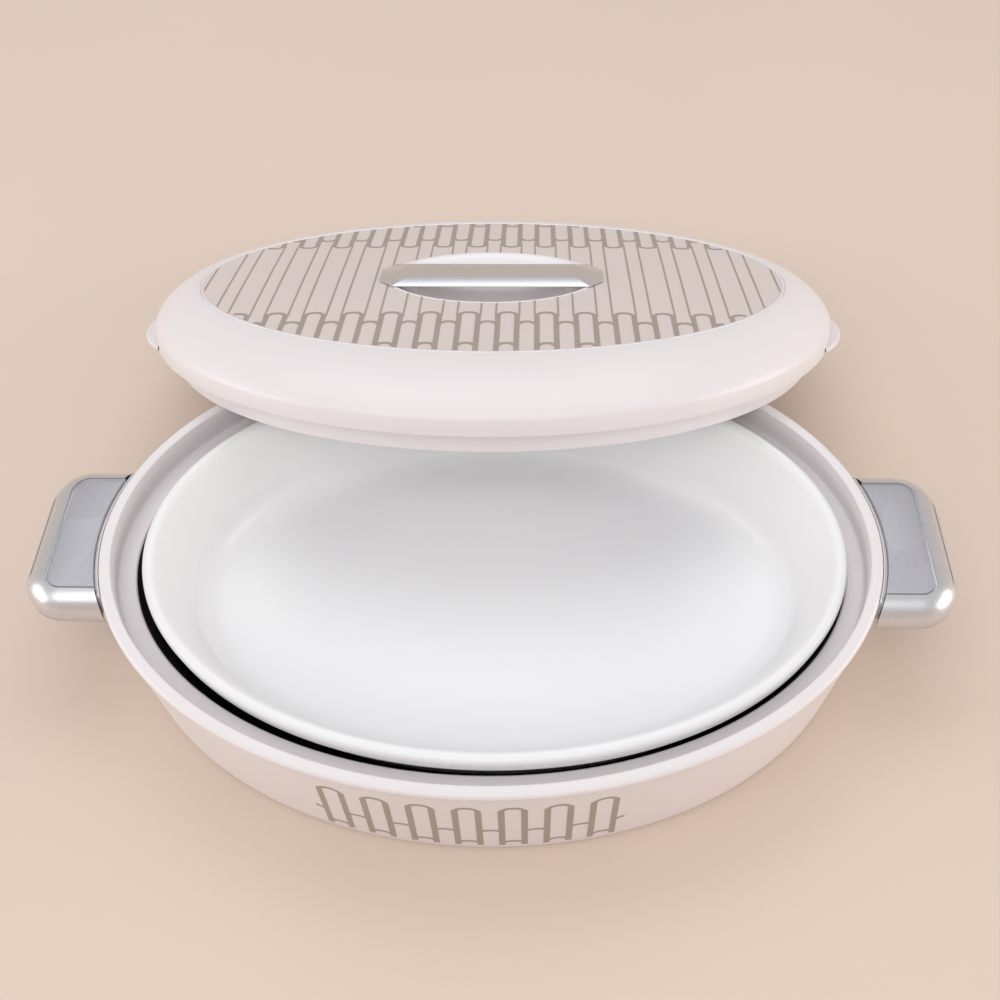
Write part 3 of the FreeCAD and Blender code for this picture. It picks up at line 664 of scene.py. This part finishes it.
inlay_a = 0.5 * (panel_high.x - panel_low.x)
inlay_b = 0.5 * (panel_high.y - panel_low.y)
dome_run_x = LID_A - inlay_a - INLAY_GAP
dome_run_y = LID_B - inlay_b - INLAY_GAP


def shoulder(thick, count=18):
    """Ovals of the dome's shoulder from the crease up to the edge of the pattern panel."""
    rings = []
    for t in quarter(count):
        inward = 1.0 - max(0.0, math.cos(t)) ** DOME_FULLNESS
        set_in = BAND_DRAFT * (1.0 - inward) + thick * math.cos(t)
        z = BAND_H + (DOME_TOP - BAND_H) * math.sin(t) ** DOME_FULLNESS - thick * math.sin(t)
        rings.append((LID_A - dome_run_x * inward - set_in, LID_B - dome_run_y * inward - set_in, z))
    return rings


dome_rings = [lid_ring(LID_WALL, 0.0)]
dome_rings += [lid_ring(w, z) for w, z in BAND_EDGES]
dome_rings += [lid_ring(w, BAND_H - drop) for w, drop in CREASE_EDGES]
dome_rings += shoulder(0.0)
dome_rings += [(inlay_a + INLAY_GAP, inlay_b + INLAY_GAP, DOME_TOP - INLAY_SEAT)]
dome_rings += list(reversed(shoulder(LID_WALL)))
dome_form = oval_form(dome_rings, closed_loop=True)
new_piece("lid_dome", in_lid(dome_form[0]), dome_form[1], "lid", "body_plastic", [pale_plastic],
          ["lid_outer_shell"])

tab_foot = Vector((LID_A * math.sqrt(1.0 - (TAB_Y / LID_B) ** 2), TAB_Y))
tab_out = Vector((tab_foot.x / LID_A ** 2, tab_foot.y / LID_B ** 2)).normalized()
tab_lean = math.atan2(tab_out.y, tab_out.x)
tab_rise = TAB_OUT + TAB_ROOT
tab_radius = (TAB_HALF ** 2 + tab_rise ** 2) / (2.0 * tab_rise)
tab_middle = tab_foot + tab_out * (TAB_OUT - tab_radius)
tab_sweep = math.asin(TAB_HALF / tab_radius)
tab_levels = ((TAB_EDGE, TAB_RISE), (0.0, TAB_RISE + TAB_EDGE),
              (0.0, TAB_RISE + TAB_T - TAB_EDGE), (TAB_EDGE, TAB_RISE + TAB_T))
for side, name in ((-1, "left"), (1, "right")):
    tab_verts, tab_faces = [], []
    for pull, z in tab_levels:
        for i in range(TAB_STEPS + 1):
            t = tab_lean + tab_sweep * (2.0 * i / TAB_STEPS - 1.0)
            tab_verts.append((side * (tab_middle.x + (tab_radius - pull) * math.cos(t)),
                              tab_middle.y + (tab_radius - pull) * math.sin(t), z))
    n = TAB_STEPS + 1
    for r in range(3):
        for i in range(TAB_STEPS):
            tab_faces.append((r * n + i, r * n + i + 1, (r + 1) * n + i + 1, (r + 1) * n + i))
    tab_faces.append(tuple(range(n)))
    tab_faces.append(tuple(range(3 * n, 4 * n)))
    tab_faces.append((0, n, 2 * n, 3 * n))
    tab_faces.append((n - 1, 2 * n - 1, 3 * n - 1, 4 * n - 1))
    new_piece("lid_tab_" + name, in_lid(tab_verts), tab_faces, "lid", "body_plastic", [pale_plastic])


# Pattern panel: a thin satin oval let into the top of the dome, a little warmer than the shell,
# open round the finger cup and edged by a fine bright bead.
PANEL_WARM = (0.715, 0.637, 0.612)
DOME_CROWN = 2.2 * MM
BEAD_R = 0.6 * MM
BEAD_IN = 0.5 * MM
BEAD_SINK = 0.25 * MM
BEAD_SIDES = 10
BEAD_WHITE = (0.84, 0.82, 0.85)
PANEL_SHEET = 1.4 * MM
PANEL_ROWS = 12

warm_panel = new_material("warm_panel", PANEL_WARM, 0.45, 0.012, 20.0, 0.25, 1400.0)
cup_low, cup_high = lid_box("lid_finger_cup")
CUP_WALL = 2.0 * MM
cup_a = 0.5 * (cup_high.x - cup_low.x) - CUP_WALL
cup_b = 0.5 * (cup_high.y - cup_low.y) - CUP_WALL


def crown_z(x, y):
    """Height of the panel's gently crowned face."""
    return DOME_TOP + DOME_CROWN * (1.0 - (x / inlay_a) ** 2 - (y / inlay_b) ** 2)


def crowned_ring(f, drop):
    """Oval between the cup's edge (f = 0) and the panel's edge (f = 1), and its drop."""
    a = cup_a + (inlay_a - cup_a) * f
    b = cup_b + (inlay_b - cup_b) * f
    return a, b, drop


def crowned_form(fractions_and_drops):
    """Closed sheet whose ovals lie on the crown or at a drop below it."""
    verts, faces = oval_form([crowned_ring(f, drop) for f, drop in fractions_and_drops], True)
    return [(x, y, crown_z(x, y) - drop) for x, y, drop in verts], faces


panel_face = [(i / PANEL_ROWS, 0.0) for i in range(PANEL_ROWS + 1)]
panel_rings = crowned_form(panel_face + [(f, PANEL_SHEET) for f in (1.0, 0.5, 0.0)])
new_piece("pattern_panel", in_lid(panel_rings[0]), panel_rings[1], "lid", "pattern_panel",
          [warm_panel], ["lid_pattern_panel"])
bead_rings = []
for i in range(BEAD_SIDES):
    t = 2.0 * math.pi * i / BEAD_SIDES
    out = BEAD_R * math.cos(t) - BEAD_IN
    bead_rings.append((inlay_a + out, inlay_b + out, DOME_TOP - BEAD_SINK + BEAD_R * math.sin(t)))
bead_form = oval_form(bead_rings, closed_loop=True)
bead_white = new_material("bead_white", BEAD_WHITE, 0.18, 0.004, 60.0, 0.05, 1500.0)
new_piece("panel_bead", in_lid(bead_form[0]), bead_form[1], "lid", "body_plastic", [bead_white])


# Printed tile pattern: thin warm-grey lines run from front to back over the panel, and turn into
# thick-legged arches in a band along its front edge and another along its back edge.
TILE_PERIOD = 20.57 * MM
NARROW = 8.1 * MM
TILE_LINE = 1.05 * MM
TILE_ARC = 2.3 * MM
TILE_BAR = 2.9 * MM
TILE_LEG = 5.05 * MM
FRONT_ARCH = 52.8 * MM
FRONT_ARC = 64.8 * MM
FRONT_INNER = 90.9 * MM
BACK_ARCH = 51.5 * MM
BACK_ARC = 64.6 * MM
BACK_INNER = 94.1 * MM
WIDE_RISE = 4.6 * MM
NARROW_RISE = 4.2 * MM
EDGE_CLEAR = 2.0 * MM
CUP_CLEAR = 1.2 * MM
TILE_COLUMNS = range(-8, 9)
TILE_LIFT = 0.10 * MM
TILE_SINK = 0.05 * MM
TILE_SHORT = 0.8 * MM
TILE_STEPS = 20
ARC_CLEAR = 0.3 * MM
BAR_LAP = 0.6


def on_panel(x, y, lift):
    """Point on the panel's face, or just under it where the film of ink is fixed."""
    return (x, y, crown_z(x, y) + (lift if lift > 0.0 else -TILE_SINK))


def edge_y(x, a, b):
    """Half-width of an oval at x."""
    return b * math.sqrt(max(0.0, 1.0 - (x / a) ** 2))


tile_verts, tile_faces = [], []


def tile_bar(x, width, y0, y1):
    """Front-to-back stroke whose ends follow the panel's edge and the cup's edge."""
    sides = []
    for edge in (x - 0.5 * width, x + 0.5 * width):
        limit = edge_y(edge, inlay_a - EDGE_CLEAR, inlay_b - EDGE_CLEAR)
        hole = edge_y(edge, cup_a + CUP_CLEAR, cup_b + CUP_CLEAR)
        low, high = max(y0, -limit), min(y1, limit)
        if hole > 0.0 and low < 0.0 and high <= 0.0:
            high = min(high, -hole)
        if hole > 0.0 and low >= 0.0:
            low = max(low, hole)
        if high - low < TILE_SHORT:
            return
        sides.append((edge, low, high))
    first = len(tile_verts)
    for i in range(TILE_STEPS + 1):
        for (edge, low, high), height in ((sides[0], 0.0), (sides[0], TILE_LIFT),
                                          (sides[1], TILE_LIFT), (sides[1], 0.0)):
            tile_verts.append(on_panel(edge, low + (high - low) * i / TILE_STEPS, height))
    for i in range(TILE_STEPS):
        base = first + 4 * i
        for k in range(3):
            tile_faces.append((base + k, base + k + 1, base + k + 5, base + k + 4))
    last = first + 4 * TILE_STEPS
    tile_faces.append((first, first + 1, first + 2, first + 3))
    tile_faces.append((last, last + 3, last + 2, last + 1))


def tile_arc(x, half, y_top, rise, facing):
    """Curve across one column, clipped to the panel's edge."""
    path = []
    for s, t in arch(x, half, 0.0, rise, TILE_STEPS):
        y = facing * (y_top + rise - t)
        if abs(y) < edge_y(s, inlay_a - EDGE_CLEAR, inlay_b - EDGE_CLEAR) - ARC_CLEAR:
            path.append((s, y))
    if len(path) > 3:
        stroke(tile_verts, tile_faces, path, TILE_ARC, on_panel, 1.2 * TILE_LIFT)


for column in TILE_COLUMNS:
    narrow_x = TILE_PERIOD * column
    wide_x = TILE_PERIOD * (column + 0.5)
    for side in (-1, 1):
        line_x = narrow_x + 0.5 * side * NARROW
        tile_bar(line_x, TILE_LINE, -FRONT_ARCH - WIDE_RISE, 0.0)
        tile_bar(line_x, TILE_LINE, 0.0, BACK_ARCH + WIDE_RISE)
        leg_x = wide_x + side * TILE_LEG
        tile_bar(leg_x, TILE_BAR, -inlay_b, -FRONT_ARCH - BAR_LAP * WIDE_RISE)
        tile_bar(leg_x, TILE_BAR, BACK_ARCH + BAR_LAP * WIDE_RISE, inlay_b)
    for facing, first_y, second_y, third_y in ((-1, FRONT_ARCH, FRONT_ARC, FRONT_INNER),
                                               (1, BACK_ARCH, BACK_ARC, BACK_INNER)):
        tile_arc(wide_x, TILE_LEG + 0.25 * TILE_BAR, first_y, WIDE_RISE, facing)
        tile_arc(narrow_x, 0.5 * TILE_PERIOD - TILE_LEG, second_y, NARROW_RISE, facing)
        tile_arc(wide_x, TILE_LEG, third_y, NARROW_RISE, facing)
new_piece("tile_pattern", in_lid(tile_verts), tile_faces, "lid", "pattern_panel", [tile_ink])


# Finger cup: a smooth shallow bowl of pale plastic set in the middle of the lid, deep enough for
# finger tips to go under the grip bar. Its white is lighter than the body's plastic: painted light
# that brightens the shade under the bar.
# Whiter than the body's plastic: painted light that lifts the shade under the grip bar.
CUP_PAINTED_LIGHT = (0.90, 0.87, 0.88)
CUP_EDGE_DROP = 0.4 * MM
CUP_FULLNESS = 3.2
CUP_ROWS = 14
CUP_MIDDLE = 0.02
CUP_LIP = ((0.9 * MM, 0.35 * MM), (1.6 * MM, 0.3 * MM), (1.8 * MM, -1.5 * MM))
CUP_UNDER_OUT = 1.6 * MM
CUP_UNDER_DROP = 1.0 * MM

cup_edge_z = DOME_TOP + DOME_CROWN - CUP_EDGE_DROP
cup_bottom = cup_low.z - lid_origin.z + CUP_WALL
cup_depth = cup_edge_z - cup_bottom

cup_steps = [CUP_MIDDLE + (1.0 - CUP_MIDDLE) * i / CUP_ROWS for i in range(CUP_ROWS + 1)]
cup_rings = [(cup_a * k, cup_b * k, cup_bottom + cup_depth * k ** CUP_FULLNESS) for k in cup_steps]
cup_rings += [(cup_a + out, cup_b + out, cup_edge_z + rise) for out, rise in CUP_LIP]
cup_rings += [((cup_a + CUP_UNDER_OUT) * k, (cup_b + CUP_UNDER_OUT) * k,
               cup_bottom - CUP_WALL + (cup_depth - CUP_UNDER_DROP) * k ** CUP_FULLNESS)
              for k in reversed(cup_steps)]
cup_form = oval_form(cup_rings)
# The cup's material carries the painted light that brightens the shade under the bar.
cup_painted_light = new_material("cup_painted_light", CUP_PAINTED_LIGHT, 0.30, 0.008, 14.0, 0.08, 1500.0)
new_piece("finger_cup", in_lid(cup_form[0]), cup_form[1], "lid", "body_plastic", [cup_painted_light],
          ["lid_finger_cup"])


# Grip bar: a long satin-silver bar with bevelled sides and blunt ends, clipped on a narrow pale
# core whose two legs stand in the cup. Screws from below hold it.
BAR_EDGE = 0.35 * MM
BAR_SIDE = 0.7 * MM
BAR_END_W = 8.5 * MM
BAR_SHOULDER = 8.0 * MM
BAR_TOP_W = 10.5 * MM
BAR_TOP_END_W = 6.0 * MM
BAR_TOP_IN = 13.5 * MM
BAR_TOP_SHOULDER = 15.5 * MM
BAR_BEVEL = 0.5 * MM
BAR_BEVEL_ANGLE = math.radians(12.0)

bar_silver = new_material("bar_silver", CAP_SILVER, 0.22, 0.04, 900.0, 0.2, 3500.0, metal=0.85)
grip_low, grip_high = lid_box("lid_grip_bar")
bar_z0 = grip_low.z - lid_origin.z
bar_z1 = grip_high.z - lid_origin.z
bar_half = 0.5 * (grip_high.x - grip_low.x)
bar_half_w = 0.5 * (grip_high.y - grip_low.y)


def blunt_bar(end_in, shoulder_in, half_w, end_w, z):
    """Eight-sided outline of the bar, its ends set in from the full length."""
    end, side = bar_half - end_in, bar_half - shoulder_in
    return [(end, -end_w, z), (end, end_w, z), (side, half_w, z), (-side, half_w, z),
            (-end, end_w, z), (-end, -end_w, z), (-side, -half_w, z), (side, -half_w, z)]


bar_levels = (blunt_bar(BAR_EDGE, BAR_SHOULDER, bar_half_w - BAR_EDGE, BAR_END_W, bar_z0),
              blunt_bar(0.0, BAR_SHOULDER, bar_half_w, BAR_END_W, bar_z0 + BAR_EDGE),
              blunt_bar(0.0, BAR_SHOULDER, bar_half_w, BAR_END_W, bar_z0 + BAR_SIDE),
              blunt_bar(BAR_TOP_IN, BAR_TOP_SHOULDER, BAR_TOP_W, BAR_TOP_END_W, bar_z1))
bar_verts = [p for level in bar_levels for p in level]
sides = len(bar_levels[0])
bar_faces = [tuple(range(sides)), tuple(range(3 * sides, 4 * sides))]
for r in range(3):
    for i in range(sides):
        j = (i + 1) % sides
        bar_faces.append((r * sides + i, r * sides + j, (r + 1) * sides + j, (r + 1) * sides + i))
grip = new_piece("grip_bar", in_lid(bar_verts), bar_faces, "lid", "silver_paint", [bar_silver],
                 ["lid_grip_bar"])
edge_round = grip.modifiers.new("edge_round", "BEVEL")
edge_round.width = BAR_BEVEL
edge_round.segments = 3
edge_round.limit_method = "ANGLE"
edge_round.angle_limit = BAR_BEVEL_ANGLE
dress("lid_bar_core", pale_plastic)
dress("lid_bar_screws", zinc_screw)


# Table, light and camera: a plain warm table top under two wide soft lamps above, a smaller one
# at each end and a low fill all round, seen from the front and well above.
TABLE_WARM = (0.725, 0.600, 0.505)
TABLE_SIZE = 12.0
SKY_LOW = (1.10, 0.93, 0.79)
SKY_MID = (0.86, 0.87, 0.93)
SKY_HIGH = (1.0, 1.0, 1.0)
SKY_STRENGTH = 0.56
CAMERA_AT = Vector((21.1, -377.7, 545.8)) * MM
CAMERA_RIGHT = Vector((0.99965, 0.02172, -0.01558))
CAMERA_UP = Vector((-0.00665, 0.76651, 0.64221))
CAMERA_FORWARD = Vector((-0.02589, 0.64188, -0.76638))
CAMERA_LENS = 44.87
SENSOR = 36.0

table_mesh = bpy.data.meshes.new("table_top")
half_table = 0.5 * TABLE_SIZE
table_corners = [(x * half_table, y * half_table, 0.0) for x, y in ((-1, -1), (1, -1), (1, 1), (-1, 1))]
table_mesh.from_pydata(table_corners, [], [(0, 1, 2, 3)])
table = bpy.data.objects.new("table_top", table_mesh)
bpy.context.scene.collection.objects.link(table)
table_warm = new_material("table_warm", TABLE_WARM, 0.7, 0.008, 6.0, 0.1, 300.0)
table_mesh.materials.append(table_warm)

world = bpy.data.worlds.new("soft_room")
bpy.context.scene.world = world
world.use_nodes = True
sky = world.node_tree
background = sky.nodes["Background"]
background.inputs["Strength"].default_value = SKY_STRENGTH
direction = sky.nodes.new("ShaderNodeTexCoord")
split = sky.nodes.new("ShaderNodeSeparateXYZ")
blend = sky.nodes.new("ShaderNodeValToRGB")
blend.color_ramp.elements[0].position = 0.20
blend.color_ramp.elements[1].position = 0.85
blend.color_ramp.elements[0].color = SKY_LOW + (1.0,)
blend.color_ramp.elements[1].color = SKY_HIGH + (1.0,)
blend.color_ramp.elements.new(0.55).color = SKY_MID + (1.0,)
sky.links.new(direction.outputs["Generated"], split.inputs["Vector"])
sky.links.new(split.outputs["Z"], blend.inputs["Fac"])
sky.links.new(blend.outputs["Color"], background.inputs["Color"])


def soft_light(name, at, target, size, power, colour):
    """Wide rectangular lamp that faces a point."""
    lamp = bpy.data.lights.new(name, "AREA")
    lamp.shape = "RECTANGLE"
    lamp.size, lamp.size_y = size
    lamp.energy = power
    lamp.color = colour
    holder = bpy.data.objects.new(name, lamp)
    bpy.context.scene.collection.objects.link(holder)
    holder.location = at
    holder.rotation_euler = (Vector(target) - Vector(at)).to_track_quat("-Z", "Y").to_euler()


soft_light("front_high", (-0.3, -1.15, 1.7), (0.0, 0.05, 0.0), (1.9, 1.3), 11.5, (1.0, 0.995, 0.99))
soft_light("back_high", (-0.1, 0.95, 1.8), (0.0, 0.35, 0.0), (1.8, 1.2), 9.0, (0.98, 0.985, 1.0))
soft_light("right_low", (1.7, -0.2, 0.5), (0.0, 0.0, 0.05), (1.2, 0.8), 11.0, (1.0, 0.95, 0.91))
soft_light("left_low", (-1.6, -0.3, 0.55), (0.0, 0.0, 0.05), (1.2, 0.8), 8.0, (0.99, 0.97, 0.96))

camera_data = bpy.data.cameras.new("photo_view")
camera_data.sensor_width = SENSOR
camera_data.lens = CAMERA_LENS
camera_data.clip_start = 0.01
camera = bpy.data.objects.new("photo_view", camera_data)
bpy.context.scene.collection.objects.link(camera)
camera_turn = Matrix((CAMERA_RIGHT, CAMERA_UP, -CAMERA_FORWARD)).transposed().to_4x4()
camera.matrix_world = Matrix.Translation(CAMERA_AT) @ camera_turn
bpy.context.scene.camera = camera
bpy.context.scene.view_settings.view_transform = "Standard"
